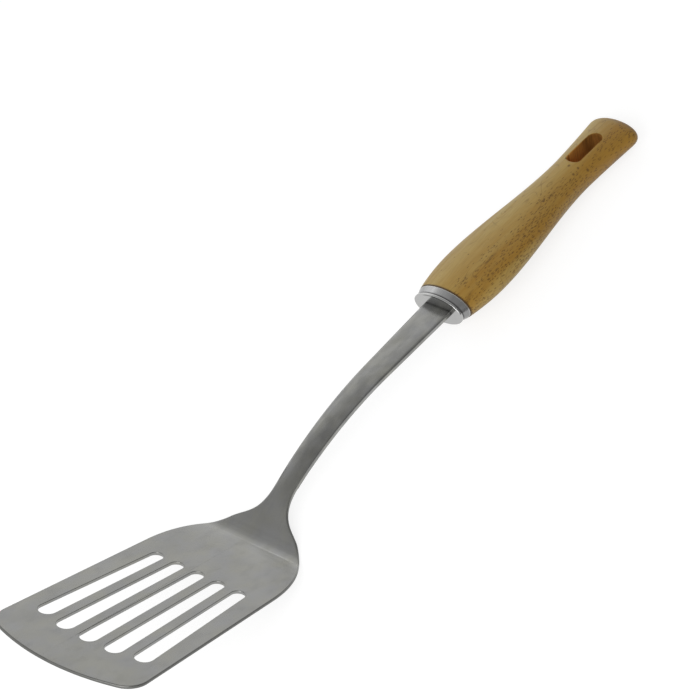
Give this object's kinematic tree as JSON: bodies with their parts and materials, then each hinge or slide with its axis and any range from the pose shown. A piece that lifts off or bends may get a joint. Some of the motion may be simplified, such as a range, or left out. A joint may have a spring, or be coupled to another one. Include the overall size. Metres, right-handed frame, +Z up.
{
  "type": "slotted spatula",
  "caption": "Kitchen spatula with a slotted flat steel blade, a cranked steel shank, a steel band and an oval wooden handle with a hanging slot.",
  "frame": {"origin": "middle of the bounding box on the table that the spatula rests on", "axes": "+X from the blade's front edge to the end of the handle, +Y across the blade, +Z up; XZ is the plane of symmetry"},
  "size_m": [0.3918, 0.0784, 0.0509],
  "materials": {
    "sheet_steel": "satin ground sheet",
    "polished_steel": "polished",
    "band_steel": "fine satin",
    "beech": "oiled, dark fine flecks along the grain",
    "adhesive": "set epoxy"
  },
  "bodies": {
    "root": {"blade": "sheet_steel", "end_plate": "polished_steel", "ferrule": "band_steel", "handle": "beech", "bond": "adhesive"}
  },
  "joints": []
}
